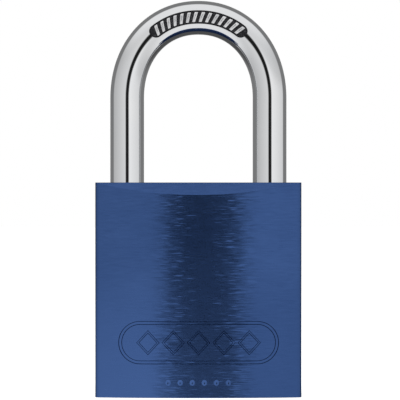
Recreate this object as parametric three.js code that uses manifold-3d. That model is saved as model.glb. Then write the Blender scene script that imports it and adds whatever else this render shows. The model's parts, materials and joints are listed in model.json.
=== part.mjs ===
// A key-operated padlock with a round steel shackle, two locking balls and a six-pin tumbler cylinder.
//
// Millimetres, +Z up. The origin is the centre of the body's underside, -Y is the front face, and the
// shackle's heel leg is at -X and its toe leg at +X. The padlock is closed, and its plug is turned to the
// unlocked side, so the balls are back in the cam's pockets and the shackle is free to rise.
//
// The body has no size of its own: it is as wide, deep and high as what it holds, plus its walls.
import * as THREE from "three";
import { mergeVertices } from "three/addons/utils/BufferGeometryUtils.js";
import Module from "manifold-3d";

const wasm = await Module();
wasm.setup();

// ---------------------------------------------------------------- driving sizes

// Shackle
const ROD_DIAMETER = 6.6;
const SHACKLE_GAP = 21.3; // clear width between the legs
const SHACKLE_REACH = 29; // clear height from the body's top to the inside of the crown
const ARCH_RISE = 15.8; // height of the arch's centre line above the straight legs
const ARCH_POWER = 2.105; // exponent of the arch's superellipse: 2 would be an ellipse
const LEG_CHAMFER = 0.8;
const TOE_LIP = 1.8; // metal below the toe notch
const TOE_FREE = 1.9; // how far the toe stands clear of the body when the shackle is up
const HEEL_FLANGE = 2.2; // full-diameter end that the retaining pin stops

// Body
const SIDE_WALL = 2.55; // metal outside each shackle bore
const FACE_WALL = 2.05; // metal in front of and behind the cylinder
const FACE_BULGE = 2.4; // how far each broad face is crowned
const TOP_WALL = 3.5; // metal above the cam
const CHAMFER_ANGLE = 45; // degrees, of the two top chamfers
const CORNER_RADIUS = 0.6;
const FOOT_CHAMFER = 0.3;
const SCREW_WEB = 1.6; // metal between the retaining screw's seat and the cylinder's lobe

// Locking balls and cam
const BALL_BITE = 1.45; // how deep a ball stands in its notch when locked
const BALL_BACK_OFF = 0.15; // how far a retracted ball stands clear of the leg
const CAM_ABOVE_BALL = 0.8;
const KEY_TURN = 90; // degrees between locked and unlocked

// Cylinder
const PLUG_DIAMETER = 10.8;
const HOUSING_WALL = 1.9;
const SEAT_WIDTH = 1.1; // shoulder in the body that the housing is pulled up against
const FACE_RECESS = 0.4; // the cylinder's face lies this far inside the body's underside
const END_WALL = 1.8; // the housing's inner end
const LOBE_WIDTH = 7;
const LOBE_PAST_LEG = 1.95; // the lobe reaches this far past the toe leg's axis
const PLUG_NECK_STEP = 1.5; // the plug's neck is this much smaller in radius
const CLIP_THICKNESS = 0.6;
const CLIP_GROOVE_DEPTH = 0.8;
const CLIP_RIM = 1.4; // how far the clip stands out of the neck
const CLIP_OPENING = 80; // degrees
const TANG_HEIGHT = 2.2;
const TANG_THICKNESS = 2.6;
const TANG_EDGE = 1.5; // metal left between the cam's slot and its pockets

// Pins
const PIN_COUNT = 6;
const PIN_PITCH = 3.4;
const PIN_DIAMETER = 2.5;
const FIRST_PIN_DEPTH = 4.2; // from the cylinder's face to the first pin
const CHAMBER_FLOOR = 0.6; // the plug's chambers end this far past the plug's axis
const KEY_PIN_SHORT = 0.7; // the longest key pin's top rests this far inside the plug's surface
const KEY_PIN_STEP = 0.35; // between one cut depth of the key and the next
const KEY_PIN_CUTS = [1, 3, 0, 2, 4, 1]; // steps shorter than the longest pin, from the face inwards
const KEY_PIN_TIP = 0.8; // length of the conical tip
const KEY_PIN_TIP_RADIUS = 0.35;
const DRIVER_LENGTH = 3.4;
const SPOOL_DRIVERS = [1, 3, 4]; // drivers with a waist, counted from the face
const SPOOL_WAIST = 0.35;
const COVER_THICKNESS = 0.6;
const COVER_WIDTH = 4.2;
const COVER_START = 1; // metal left between the cylinder's face and the spring cover's slot
const KEYWAY_EDGE = 1; // metal left between the keyway's blind side and the plug's surface
const KEYWAY_SHORT = 2; // and on the side of the pins
const KEYWAY_WIDTH = 1.7;
const KEYWAY_OFFSET = 0.25; // each ward shifts the slot sideways by this much

// Fasteners and springs
const RETAINING_PIN_DIAMETER = 2.2;
const RETAINING_PIN_DROP = 1; // from the top of the cylinder's cavity to the pin
const SCREW_DIAMETER = 3;
const SCREW_HEAD_DIAMETER = 4.6;
const SCREW_HEAD_HEIGHT = 1.4;
const SCREW_GRIP = 2.5; // thread in the housing
const SCREW_SLOT = 0.8;
const SCREW_INSET = 0.9; // the screw stands this far inwards of the toe leg's axis
const SHACKLE_SPRING_ROOM = 4;
const SHACKLE_SPRING_WIRE = 0.6;
const SHACKLE_SPRING_TURNS = 4;
const PIN_SPRING_WIRE = 0.32;
const PIN_SPRING_TURNS = 5;

// Clearances
const BORE_PLAY = 0.2; // shackle leg in its bore
const BALL_PLAY = 0.1; // ball in its channel and in its notch
const CAM_PLAY = 0.2;
const PLUG_PLAY = 0.1; // plug in its housing
const HOUSING_PLAY = 0.2; // housing in the body
const CHAMBER_PLAY = 0.1;
const PRESS_PLAY = 0.05; // retaining pin in its hole
const SCREW_PLAY = 0.15;
const SEAT_GAP = 0.1; // between faces that meet
const SHEAR_GAP = 0.2; // a raised key pin stops this far inside the plug's surface
const STOP_GAP = 0.3; // before a moving piece's stop
const SCREW_TIP_GAP = 0.5;

const OVERCUT = 1; // a cutter starts this far outside the face that it cuts

// Facets
const ROUND = 32;
const FINE = 48;
const SMALL = 14;
const HEAD_SIDES = 20; // around the retaining screw's head
const ROD_SIDES = 20; // around the shackle's rod
const SHACKLE_STEPS = 28; // along the shackle
const FACE_STEPS = 12; // across each crowned face
const CLIP_STEPS = 20;
const CHANNEL_SIDES = 24; // around the balls' channel
const BALL_AROUND = 16;
const BALL_UP = 12;
const CAM_CORNERS = 72;
const CAM_TURN_STEP = 3; // degrees between two places of a ball that the cam makes room for
const SHACKLE_COIL = [11, 5]; // steps in a turn, and sides of the wire
const PIN_COIL = [7, 4];

// ---------------------------------------------------------------- sizes that follow

const radians = THREE.MathUtils.degToRad;

const rodRadius = ROD_DIAMETER / 2;
const legX = SHACKLE_GAP / 2 + rodRadius;
const boreRadius = rodRadius + BORE_PLAY;
const halfWidth = legX + boreRadius + SIDE_WALL;

const plugRadius = PLUG_DIAMETER / 2;
const plugBore = plugRadius + PLUG_PLAY;
const housingRadius = plugBore + HOUSING_WALL;
const cavityRadius = housingRadius + HOUSING_PLAY;
const halfDepth = cavityRadius + FACE_WALL;
const edgeHalfDepth = halfDepth - FACE_BULGE;

const camRadius = housingRadius - SEAT_WIDTH - CAM_PLAY;
const camBore = camRadius + CAM_PLAY;
const ballRadius = (SHACKLE_GAP / 2 + BALL_BITE - camRadius) / 2;
const ballOut = SHACKLE_GAP / 2 + BALL_BITE - ballRadius; // the locked ball's centre, from the axis
const ballTravel = BALL_BITE + BALL_BACK_OFF;
const notchRadius = ballRadius + BALL_PLAY;
const notchDepth = notchRadius - (SHACKLE_GAP / 2 - ballOut);
const notchHalfHeight = Math.sqrt(notchRadius ** 2 - (notchRadius - notchDepth) ** 2);

const pinRadius = PIN_DIAMETER / 2;
const chamberRadius = pinRadius + CHAMBER_PLAY;
const firstPinZ = FACE_RECESS + FIRST_PIN_DEPTH;
const lastPinZ = firstPinZ + (PIN_COUNT - 1) * PIN_PITCH;
const pinHeights = Array.from({ length: PIN_COUNT }, (_, i) => firstPinZ + i * PIN_PITCH);

const screwTipZ = lastPinZ + chamberRadius + SCREW_TIP_GAP;
const lobeTop = screwTipZ + SCREW_GRIP;
const toeBoreFloor = lobeTop + HOUSING_PLAY + SCREW_WEB;
const toeEndZ = toeBoreFloor + SEAT_GAP + SCREW_HEAD_HEIGHT + STOP_GAP;
const ballZ = toeEndZ + TOE_LIP + notchHalfHeight;
const camHeight = 2 * (ballRadius + CAM_ABOVE_BALL);
const camBottom = ballZ - camHeight / 2;
const camTop = ballZ + camHeight / 2;
const bodyTop = camTop + STOP_GAP + TOP_WALL;

const neckTop = camBottom - SEAT_GAP;
const clipBottom = neckTop - 2 * CLIP_THICKNESS;
const housingTop = clipBottom - SEAT_GAP;
const plugShoulder = housingTop - END_WALL;
const plugNeckRadius = plugRadius - PLUG_NECK_STEP;

const crownZ = bodyTop + SHACKLE_REACH + rodRadius; // the rod's centre at the top of the arch
const springLine = crownZ - ARCH_RISE; // where the legs turn into the arch
const lift = bodyTop - toeEndZ + TOE_FREE;
const neckRadius = rodRadius - BALL_BITE - BALL_PLAY;
const retainingPinRadius = RETAINING_PIN_DIAMETER / 2;
const retainingPinZ = housingTop - RETAINING_PIN_DROP - retainingPinRadius;
const heelNeckTop = retainingPinZ + retainingPinRadius + STOP_GAP;
const heelNeckBottom = retainingPinZ - retainingPinRadius - STOP_GAP - lift;
const heelEndZ = heelNeckBottom - HEEL_FLANGE;
const heelBoreFloor = heelEndZ - SHACKLE_SPRING_ROOM;

const lobeReach = legX + LOBE_PAST_LEG;
const coverOuter = lobeReach - SEAT_GAP;
const coverInner = coverOuter - COVER_THICKNESS;
const driverInner = plugRadius + PLUG_PLAY;
const driverOuter = driverInner + DRIVER_LENGTH;
const screwX = legX - SCREW_INSET;
const tangHalfLength = camRadius - ballTravel - TANG_EDGE;

// ---------------------------------------------------------------- helpers

// A closed three.js geometry as a solid that can be joined and cut.
function solid(geometry) {
  const bare = geometry.clone();
  bare.deleteAttribute("normal");
  bare.deleteAttribute("uv");
  const merged = mergeVertices(bare, 1e-5);
  return new wasm.Manifold(
    new wasm.Mesh({
      numProp: 3,
      vertProperties: new Float32Array(merged.attributes.position.array),
      triVerts: new Uint32Array(merged.index.array),
    }),
  );
}

// A solid back as a three.js geometry.
function geometryOf(shape) {
  const { vertProperties, triVerts } = shape.getMesh();
  const geometry = new THREE.BufferGeometry();
  geometry.setAttribute("position", new THREE.BufferAttribute(new Float32Array(vertProperties), 3));
  geometry.setIndex(new THREE.BufferAttribute(new Uint32Array(triVerts), 1));
  geometry.computeVertexNormals();
  return geometry;
}

// A round bar along Z between two heights.
function barZ(radius, from, to, x = 0, y = 0, sides = ROUND) {
  const bar = new THREE.CylinderGeometry(radius, radius, to - from, sides);
  return solid(bar.rotateX(Math.PI / 2).translate(x, y, (from + to) / 2));
}

// A round bar along X between two distances.
function barX(radius, from, to, z, sides = SMALL) {
  const bar = new THREE.CylinderGeometry(radius, radius, to - from, sides);
  return solid(bar.rotateZ(Math.PI / 2).translate((from + to) / 2, 0, z));
}

// A box between two corners.
function block([x0, y0, z0], [x1, y1, z1]) {
  const box = new THREE.BoxGeometry(x1 - x0, y1 - y0, z1 - z0);
  return solid(box.translate((x0 + x1) / 2, (y0 + y1) / 2, (z0 + z1) / 2));
}

// A profile of [radius, height] points turned about Z. It starts and ends on the axis, or closes on itself.
function turned(profile, x = 0, y = 0, sides = ROUND) {
  const points = profile.map(([radius, height]) => new THREE.Vector2(radius, height));
  return solid(new THREE.LatheGeometry(points, sides).rotateX(Math.PI / 2).translate(x, y, 0));
}

// An outline in X and Y raised from one height to another.
function raised(outline, from, to, curveSegments = ROUND) {
  const plate = new THREE.ExtrudeGeometry(outline, { depth: to - from, bevelEnabled: false, curveSegments });
  return solid(plate.translate(0, 0, from));
}

// A ring cut out of a leg, which leaves it with a smaller radius between two heights.
function legGroove(radius, from, to, x) {
  const outside = rodRadius + OVERCUT;
  const profile = [
    [radius, from],
    [outside, from],
    [outside, to],
    [radius, to],
    [radius, from],
  ];
  return turned(profile, x, 0);
}

// The corner cut off a leg's lower end.
function legChamfer(endZ, x) {
  const inside = rodRadius - LEG_CHAMFER;
  const outside = rodRadius + OVERCUT;
  const profile = [
    [inside, endZ - OVERCUT],
    [outside, endZ - OVERCUT],
    [outside, endZ + LEG_CHAMFER + OVERCUT],
    [inside, endZ],
    [inside, endZ - OVERCUT],
  ];
  return turned(profile, x, 0);
}

function ballAt(radius, x, z) {
  const ball = new THREE.SphereGeometry(radius, BALL_AROUND, BALL_UP);
  return solid(ball.rotateX(Math.PI / 2).translate(x, 0, z));
}

// A wire coiled about Z with its axis at the origin.
class Helix extends THREE.Curve {
  constructor(radius, height, turns) {
    super();
    Object.assign(this, { radius, height, turns });
  }

  getPoint(t, target = new THREE.Vector3()) {
    const angle = 2 * Math.PI * this.turns * t;
    return target.set(this.radius * Math.cos(angle), this.radius * Math.sin(angle), this.height * t);
  }
}

function roundSection(radius, sides) {
  const corners = Array.from({ length: sides }, (_, i) => {
    const angle = (2 * Math.PI * i) / sides;
    return new THREE.Vector2(radius * Math.cos(angle), radius * Math.sin(angle));
  });
  return new THREE.Shape(corners);
}

// A coil spring standing on the XY plane. The wire's end faces stay inside its height.
function coilSpring(meanRadius, height, wire, turns, [stepsPerTurn, sides]) {
  const path = new Helix(meanRadius, height - wire, turns);
  const geometry = new THREE.ExtrudeGeometry(roundSection(wire / 2, sides), {
    steps: Math.round(turns * stepsPerTurn),
    extrudePath: path,
    bevelEnabled: false,
  });
  return geometry.translate(0, 0, wire / 2);
}

// ---------------------------------------------------------------- finishes

function finish(color, metalness, roughness) {
  return new THREE.MeshStandardMaterial({ color, metalness, roughness });
}

const anodisedBlue = finish(0x36558a, 0.9, 0.35);
const chromedSteel = finish(0xd6d8d8, 1, 0.08);
const hardSteel = finish(0x9a9ca0, 1, 0.2);
const brass = finish(0xc9a44c, 1, 0.3);
const nickelSilver = finish(0xb9b6aa, 1, 0.28);
const springSteel = finish(0x8a8c90, 1, 0.3);
const blackSteel = finish(0x2c2d30, 0.9, 0.45);

function piece(name, shape, material) {
  const geometry = shape.isBufferGeometry ? shape : geometryOf(shape);
  const mesh = new THREE.Mesh(geometry, material);
  mesh.name = name;
  return mesh;
}

// ---------------------------------------------------------------- body

// The plan of the body: two flat narrow sides, two crowned broad faces and small round corners.
function bodyPlan() {
  const side = halfWidth;
  const edge = edgeHalfDepth;
  const corner = CORNER_RADIUS;
  const crownRadius = (side ** 2 + FACE_BULGE ** 2) / (2 * FACE_BULGE);
  const centreY = crownRadius - halfDepth;
  const sweep = Math.asin((side - corner) / crownRadius);
  const faceY = crownRadius * Math.cos(sweep) - centreY;
  const plan = new THREE.Shape();
  plan.moveTo(side, -edge + corner);
  plan.lineTo(side, edge - corner);
  plan.quadraticCurveTo(side, edge, side - corner, faceY);
  plan.absarc(0, -centreY, crownRadius, Math.PI / 2 - sweep, Math.PI / 2 + sweep, false);
  plan.quadraticCurveTo(-side, edge, -side, edge - corner);
  plan.lineTo(-side, -edge + corner);
  plan.quadraticCurveTo(-side, -edge, -side + corner, -faceY);
  plan.absarc(0, centreY, crownRadius, -Math.PI / 2 - sweep, -Math.PI / 2 + sweep, false);
  plan.quadraticCurveTo(side, -edge, side, -edge + corner);
  return plan;
}

// The body's outline seen from its narrow side, wide enough to reach past the faces. The top chamfers
// start at the narrow sides' edges, so on the crowned faces they show as crescents.
function sideOutline() {
  const reach = halfDepth + OVERCUT;
  const drop = (reach - edgeHalfDepth) * Math.tan(radians(CHAMFER_ANGLE));
  const outline = new THREE.Shape();
  outline.moveTo(-halfDepth + FOOT_CHAMFER, 0);
  outline.lineTo(halfDepth - FOOT_CHAMFER, 0);
  outline.lineTo(reach, FOOT_CHAMFER + OVERCUT);
  outline.lineTo(reach, bodyTop - drop);
  outline.lineTo(edgeHalfDepth, bodyTop);
  outline.lineTo(-edgeHalfDepth, bodyTop);
  outline.lineTo(-reach, bodyTop - drop);
  outline.lineTo(-reach, FOOT_CHAMFER + OVERCUT);
  return outline;
}

function cylinderCavity() {
  const barrel = barZ(cavityRadius, -OVERCUT, housingTop + SEAT_GAP, 0, 0, FINE);
  const halfSlot = LOBE_WIDTH / 2 + HOUSING_PLAY;
  const lobeEnd = [lobeReach + HOUSING_PLAY, halfSlot, lobeTop + HOUSING_PLAY];
  const lobe = block([0, -halfSlot, -OVERCUT], lobeEnd);
  return barrel.add(lobe);
}

function body() {
  const plan = raised(bodyPlan(), 0, bodyTop, FACE_STEPS);
  const reach = halfWidth + OVERCUT;
  const slab = new THREE.ExtrudeGeometry(sideOutline(), { depth: 2 * reach, bevelEnabled: false });
  slab.translate(0, 0, -reach).rotateX(Math.PI / 2).rotateZ(Math.PI / 2);
  const screwHole = SCREW_DIAMETER / 2 + SCREW_PLAY;
  return plan
    .intersect(solid(slab))
    .subtract(barZ(boreRadius, heelBoreFloor, bodyTop + OVERCUT, -legX))
    .subtract(barZ(boreRadius, toeBoreFloor, bodyTop + OVERCUT, legX))
    .subtract(cylinderCavity())
    .subtract(barZ(camBore, 0, camTop + STOP_GAP, 0, 0, FINE))
    .subtract(barX(notchRadius, -legX, legX, ballZ, CHANNEL_SIDES))
    .subtract(barZ(screwHole, lobeTop, toeBoreFloor + OVERCUT, screwX, 0, SMALL))
    .subtract(barX(retainingPinRadius + PRESS_PLAY, -legX, 0, retainingPinZ));
}

// ---------------------------------------------------------------- shackle

// The rod's centre line: up the heel leg, over the arch and down the toe leg. Its points are spaced
// evenly in t, not in length, so each straight leg takes one step and the arch takes the others.
class ShackleLine extends THREE.Curve {
  getUtoTmapping(u) {
    return u;
  }

  getPoint(t, target = new THREE.Vector3()) {
    const step = t * SHACKLE_STEPS;
    const last = SHACKLE_STEPS - 1;
    if (step < 1) return target.set(-legX, 0, heelEndZ + step * (springLine - heelEndZ));
    if (step > last) return target.set(legX, 0, springLine - (step - last) * (springLine - toeEndZ));
    const angle = (Math.PI * (step - 1)) / (last - 1);
    const power = 2 / ARCH_POWER;
    const x = -Math.sign(Math.cos(angle)) * Math.abs(Math.cos(angle)) ** power * legX;
    return target.set(x, 0, springLine + Math.abs(Math.sin(angle)) ** power * ARCH_RISE);
  }
}

function shackle() {
  const rod = new THREE.ExtrudeGeometry(roundSection(rodRadius, ROD_SIDES), {
    steps: SHACKLE_STEPS,
    extrudePath: new ShackleLine(),
    bevelEnabled: false,
  });
  return solid(rod)
    .subtract(ballAt(notchRadius, ballOut, ballZ))
    .subtract(ballAt(notchRadius, -ballOut, ballZ))
    .subtract(legGroove(neckRadius, heelNeckBottom, heelNeckTop, -legX))
    .subtract(legChamfer(heelEndZ, -legX))
    .subtract(legChamfer(toeEndZ, legX));
}

// A short dowel in the wall between the cylinder and the heel bore. Its tip stands in the leg's neck and
// stops the flange, and the housing in front of its other end keeps it in.
function retainingPin() {
  return barX(retainingPinRadius, -legX + neckRadius + STOP_GAP, -cavityRadius, retainingPinZ);
}

function shackleSpring() {
  const meanRadius = boreRadius - SHACKLE_SPRING_WIRE / 2 - STOP_GAP;
  const height = SHACKLE_SPRING_ROOM - 2 * SEAT_GAP;
  const coil = coilSpring(meanRadius, height, SHACKLE_SPRING_WIRE, SHACKLE_SPRING_TURNS, SHACKLE_COIL);
  return coil.translate(-legX, 0, heelBoreFloor + SEAT_GAP);
}

// ---------------------------------------------------------------- cam

// How far out the cam may reach in one direction: up to its own radius, or to the nearest of the places
// that the ball takes. The ball moves in evenly while the cam turns from locked, where the ball lies at
// angle 0 of the cam, to unlocked, where it lies KEY_TURN behind.
function camReach(direction) {
  let reach = camRadius;
  for (let turn = 0; turn <= KEY_TURN; turn += CAM_TURN_STEP) {
    const distance = ballOut - (ballTravel * turn) / KEY_TURN;
    const apart = direction + radians(turn);
    const aside = distance * Math.sin(apart);
    if (Math.cos(apart) > 0 && Math.abs(aside) < ballRadius) {
      const near = distance * Math.cos(apart) - Math.sqrt(ballRadius ** 2 - aside ** 2);
      reach = Math.min(reach, near);
    }
  }
  return reach - BALL_PLAY;
}

function lockingCam() {
  const outline = Array.from({ length: CAM_CORNERS }, (_, i) => {
    const angle = (2 * Math.PI * i) / CAM_CORNERS;
    const folded = ((angle + Math.PI / 2) % Math.PI) - Math.PI / 2;
    const reach = Math.min(camReach(folded), camReach(folded - Math.PI), camReach(folded + Math.PI));
    return new THREE.Vector2(reach * Math.cos(angle), reach * Math.sin(angle));
  });
  const slotLength = tangHalfLength + CAM_PLAY;
  const slotHalf = TANG_THICKNESS / 2 + CAM_PLAY;
  const slotTop = neckTop + TANG_HEIGHT + CAM_PLAY;
  return raised(new THREE.Shape(outline), camBottom, camTop).subtract(
    block([-slotLength, -slotHalf, camBottom - OVERCUT], [slotLength, slotHalf, slotTop]),
  );
}

// ---------------------------------------------------------------- cylinder

function housing() {
  const barrel = barZ(housingRadius, FACE_RECESS, housingTop, 0, 0, FINE);
  const half = LOBE_WIDTH / 2;
  const lobe = block([0, -half, FACE_RECESS], [lobeReach, half, lobeTop]);
  const coverHalf = COVER_WIDTH / 2 + CHAMBER_PLAY;
  const coverTop = lastPinZ + chamberRadius + SEAT_GAP;
  const coverSlot = block(
    [coverInner - SEAT_GAP, -coverHalf, FACE_RECESS + COVER_START],
    [lobeReach + OVERCUT, coverHalf, coverTop + SEAT_GAP],
  );
  const thread = SCREW_DIAMETER / 2 + PRESS_PLAY;
  let shape = barrel
    .add(lobe)
    .subtract(barZ(plugBore, FACE_RECESS - OVERCUT, plugShoulder, 0, 0, FINE))
    .subtract(barZ(plugNeckRadius + PLUG_PLAY, plugShoulder - OVERCUT, housingTop + OVERCUT))
    .subtract(coverSlot)
    .subtract(barZ(thread, screwTipZ - SEAT_GAP, lobeTop + OVERCUT, screwX, 0, SMALL));
  for (const z of pinHeights) {
    shape = shape.subtract(barX(chamberRadius, 0, coverInner, z));
  }
  return shape;
}

function springCover() {
  const half = COVER_WIDTH / 2;
  const top = lastPinZ + chamberRadius + SEAT_GAP;
  const bottom = FACE_RECESS + COVER_START + SEAT_GAP;
  return block([coverInner, -half, bottom], [coverOuter, half, top]);
}

// The keyway's outline, as long as the key's blade is high, with wards that shift it sideways.
function keywayOutline() {
  const half = KEYWAY_WIDTH / 2;
  const blindEnd = -plugRadius + KEYWAY_EDGE;
  const pinEnd = plugRadius - KEYWAY_SHORT;
  const lowWard = blindEnd / 2;
  const highWard = pinEnd / 4;
  const shift = KEYWAY_OFFSET;
  return new THREE.Shape([
    new THREE.Vector2(blindEnd, -half - shift),
    new THREE.Vector2(lowWard, -half - shift),
    new THREE.Vector2(lowWard, -half + shift),
    new THREE.Vector2(highWard, -half + shift),
    new THREE.Vector2(highWard, -half - shift),
    new THREE.Vector2(pinEnd, -half - shift),
    new THREE.Vector2(pinEnd, half - shift),
    new THREE.Vector2(highWard + shift, half - shift),
    new THREE.Vector2(highWard + shift, half + shift),
    new THREE.Vector2(lowWard + shift, half + shift),
    new THREE.Vector2(lowWard + shift, half - shift),
    new THREE.Vector2(blindEnd, half - shift),
  ]);
}

// The plug in its locked position, with its chambers towards +X.
function plug() {
  const grooveBottom = clipBottom - SEAT_GAP / 2;
  const grooveTop = clipBottom + CLIP_THICKNESS + SEAT_GAP / 2;
  const grooveRadius = plugNeckRadius - CLIP_GROOVE_DEPTH;
  const face = FACE_RECESS + SEAT_GAP;
  const shape = turned(
    [
      [0, face],
      [plugRadius, face],
      [plugRadius, plugShoulder - SEAT_GAP],
      [plugNeckRadius, plugShoulder - SEAT_GAP],
      [plugNeckRadius, grooveBottom],
      [grooveRadius, grooveBottom],
      [grooveRadius, grooveTop],
      [plugNeckRadius, grooveTop],
      [plugNeckRadius, neckTop],
      [0, neckTop],
    ],
    0,
    0,
    FINE,
  );
  const halfTang = TANG_THICKNESS / 2;
  const tangTop = neckTop + TANG_HEIGHT;
  const tang = block([-tangHalfLength, -halfTang, grooveTop + SEAT_GAP], [tangHalfLength, halfTang, tangTop]);
  const keywayEnd = lastPinZ + chamberRadius + SEAT_GAP;
  let cut = shape.add(tang).subtract(raised(keywayOutline(), 0, keywayEnd));
  for (const z of pinHeights) {
    cut = cut.subtract(barX(chamberRadius, -CHAMBER_FLOOR, plugRadius + OVERCUT, z));
  }
  return cut;
}

// A C-shaped clip that keeps the plug in its housing.
function plugClip() {
  const inner = plugNeckRadius - CLIP_GROOVE_DEPTH + SEAT_GAP;
  const outer = plugNeckRadius + CLIP_RIM;
  const half = radians(CLIP_OPENING / 2);
  const ring = new THREE.Shape();
  ring.absarc(0, 0, outer, half, 2 * Math.PI - half, false);
  ring.absarc(0, 0, inner, 2 * Math.PI - half, half, true);
  return raised(ring, clipBottom, clipBottom + CLIP_THICKNESS, CLIP_STEPS);
}

// ---------------------------------------------------------------- pins

const keyPinFoot = -CHAMBER_FLOOR + SEAT_GAP;
const longestKeyPin = plugRadius - KEY_PIN_SHORT - keyPinFoot;
const keyPinLengths = KEY_PIN_CUTS.map((cuts) => longestKeyPin - cuts * KEY_PIN_STEP);

// A key pin standing on the XY plane on its tip.
function keyPin(length) {
  return turned(
    [
      [0, 0],
      [KEY_PIN_TIP_RADIUS, 0],
      [pinRadius, KEY_PIN_TIP],
      [pinRadius, length - SHEAR_GAP],
      [pinRadius - SHEAR_GAP, length],
      [0, length],
    ],
    0,
    0,
    SMALL,
  );
}

// A driver pin standing on the XY plane: plain, or a spool with a waist.
function driverPin(spool) {
  const third = DRIVER_LENGTH / 3;
  const waist = spool ? pinRadius - SPOOL_WAIST : pinRadius;
  return turned(
    [
      [0, 0],
      [pinRadius, 0],
      [pinRadius, third - SPOOL_WAIST],
      [waist, third],
      [waist, 2 * third],
      [pinRadius, 2 * third + SPOOL_WAIST],
      [pinRadius, DRIVER_LENGTH],
      [0, DRIVER_LENGTH],
    ],
    0,
    0,
    SMALL,
  );
}

function pinSpring() {
  const room = coverInner - driverOuter - 2 * SEAT_GAP;
  const meanRadius = chamberRadius - PIN_SPRING_WIRE / 2 - CHAMBER_PLAY;
  return coilSpring(meanRadius, room, PIN_SPRING_WIRE, PIN_SPRING_TURNS, PIN_COIL);
}

// Lays a piece that stands on its end along +X, with its foot at a distance from the axis.
function layAlongX(mesh, distance, z) {
  mesh.rotation.y = Math.PI / 2;
  mesh.position.set(distance, 0, z);
  return mesh;
}

// ---------------------------------------------------------------- retaining screw

function retainingScrew() {
  const seat = toeBoreFloor + SEAT_GAP;
  const head = barZ(SCREW_HEAD_DIAMETER / 2, seat, seat + SCREW_HEAD_HEIGHT, screwX, 0, HEAD_SIDES);
  const shank = barZ(SCREW_DIAMETER / 2, screwTipZ, seat + SEAT_GAP, screwX, 0, SMALL);
  const slotHalf = SCREW_SLOT / 2;
  const across = SCREW_HEAD_DIAMETER;
  const slot = block(
    [screwX - across, -slotHalf, seat + SCREW_HEAD_HEIGHT / 2],
    [screwX + across, slotHalf, seat + SCREW_HEAD_HEIGHT + OVERCUT],
  );
  return head.add(shank).subtract(slot);
}

// ---------------------------------------------------------------- assembly

const padlock = new THREE.Group();

padlock.add(piece("body", body(), anodisedBlue));
padlock.add(piece("shackle", shackle(), chromedSteel));
padlock.add(piece("shackle_spring", shackleSpring(), springSteel));
padlock.add(piece("shackle_retaining_pin", retainingPin(), hardSteel));

for (const [name, side] of [["toe_locking_ball", 1], ["heel_locking_ball", -1]]) {
  padlock.add(piece(name, ballAt(ballRadius, side * (ballOut - ballTravel), ballZ), hardSteel));
}

padlock.add(piece("cylinder_housing", housing(), brass));
padlock.add(piece("spring_cover", springCover(), brass));
padlock.add(piece("cylinder_retaining_screw", retainingScrew(), blackSteel));

// What turns with the key, built locked and turned to its unlocked side.
const turning = new THREE.Group();
turning.rotation.z = radians(KEY_TURN);
turning.add(piece("cylinder_plug", plug(), brass));
turning.add(piece("plug_retaining_clip", plugClip(), springSteel));
turning.add(piece("locking_cam", lockingCam(), hardSteel));
padlock.add(turning);

pinHeights.forEach((z, i) => {
  const number = i + 1;
  turning.add(layAlongX(piece(`key_pin_${number}`, keyPin(keyPinLengths[i]), brass), keyPinFoot, z));
  const driver = driverPin(SPOOL_DRIVERS.includes(i));
  padlock.add(layAlongX(piece(`driver_pin_${number}`, driver, nickelSilver), driverInner, z));
  const spring = piece(`pin_spring_${number}`, pinSpring(), springSteel);
  padlock.add(layAlongX(spring, driverOuter + SEAT_GAP, z));
});

export default padlock;
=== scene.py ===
"""Looks of a padlock: brushed anodised body, chromed shackle, brass cylinder and everything inside it.

Every piece is a surface worked out with numpy in millimetres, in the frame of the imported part, and is
scaled to metres when its mesh is made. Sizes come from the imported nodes' boxes where a box gives them.
"""

import json
import math

import bmesh
import bpy
import numpy as np
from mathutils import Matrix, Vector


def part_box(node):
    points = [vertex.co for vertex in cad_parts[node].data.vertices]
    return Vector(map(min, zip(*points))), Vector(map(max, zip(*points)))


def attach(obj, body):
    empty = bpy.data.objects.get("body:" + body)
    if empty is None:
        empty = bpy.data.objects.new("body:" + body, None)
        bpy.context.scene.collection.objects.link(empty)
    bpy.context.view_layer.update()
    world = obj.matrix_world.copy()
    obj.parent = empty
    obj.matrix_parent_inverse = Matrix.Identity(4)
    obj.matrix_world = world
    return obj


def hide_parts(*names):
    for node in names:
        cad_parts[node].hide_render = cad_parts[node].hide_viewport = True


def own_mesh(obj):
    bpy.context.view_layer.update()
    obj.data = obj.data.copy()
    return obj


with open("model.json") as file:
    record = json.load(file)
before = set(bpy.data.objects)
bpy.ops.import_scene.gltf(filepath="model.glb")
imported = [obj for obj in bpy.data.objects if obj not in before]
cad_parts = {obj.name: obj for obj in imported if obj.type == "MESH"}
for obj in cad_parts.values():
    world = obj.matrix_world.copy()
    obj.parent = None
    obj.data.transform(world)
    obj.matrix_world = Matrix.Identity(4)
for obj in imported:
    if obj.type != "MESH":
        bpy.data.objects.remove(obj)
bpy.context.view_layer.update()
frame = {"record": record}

body_of = {node: body for body, nodes in frame["record"]["behaviour"]["bodies"].items() for node in nodes}

MM = 0.001
TURN = 2 * math.pi
PIN_NUMBERS = range(1, 7)
SPOOLS = (2, 4, 5)
SLIP = 0.1       # play round a part that slides or turns
ROOM = 0.2       # room round a part that only has to go in
GAP = 0.3        # between a part and what would stop it


def span(node):
    """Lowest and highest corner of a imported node, in millimetres."""
    low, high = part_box(node)
    return np.array(low) / MM, np.array(high) / MM


# ------------------------ sizes, in millimetres

_, body_high = span("body")
shackle_low, shackle_high = span("shackle")
housing_low, housing_high = span("cylinder_housing")
plug_low, plug_high = span("cylinder_plug")
clip_low, clip_high = span("plug_retaining_clip")
cam_low, cam_high = span("locking_cam")
screw_low, screw_high = span("cylinder_retaining_screw")
dowel_low, dowel_high = span("shackle_retaining_pin")
cover_low, cover_high = span("spring_cover")
toe_ball_low, toe_ball_high = span("toe_locking_ball")

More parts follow.
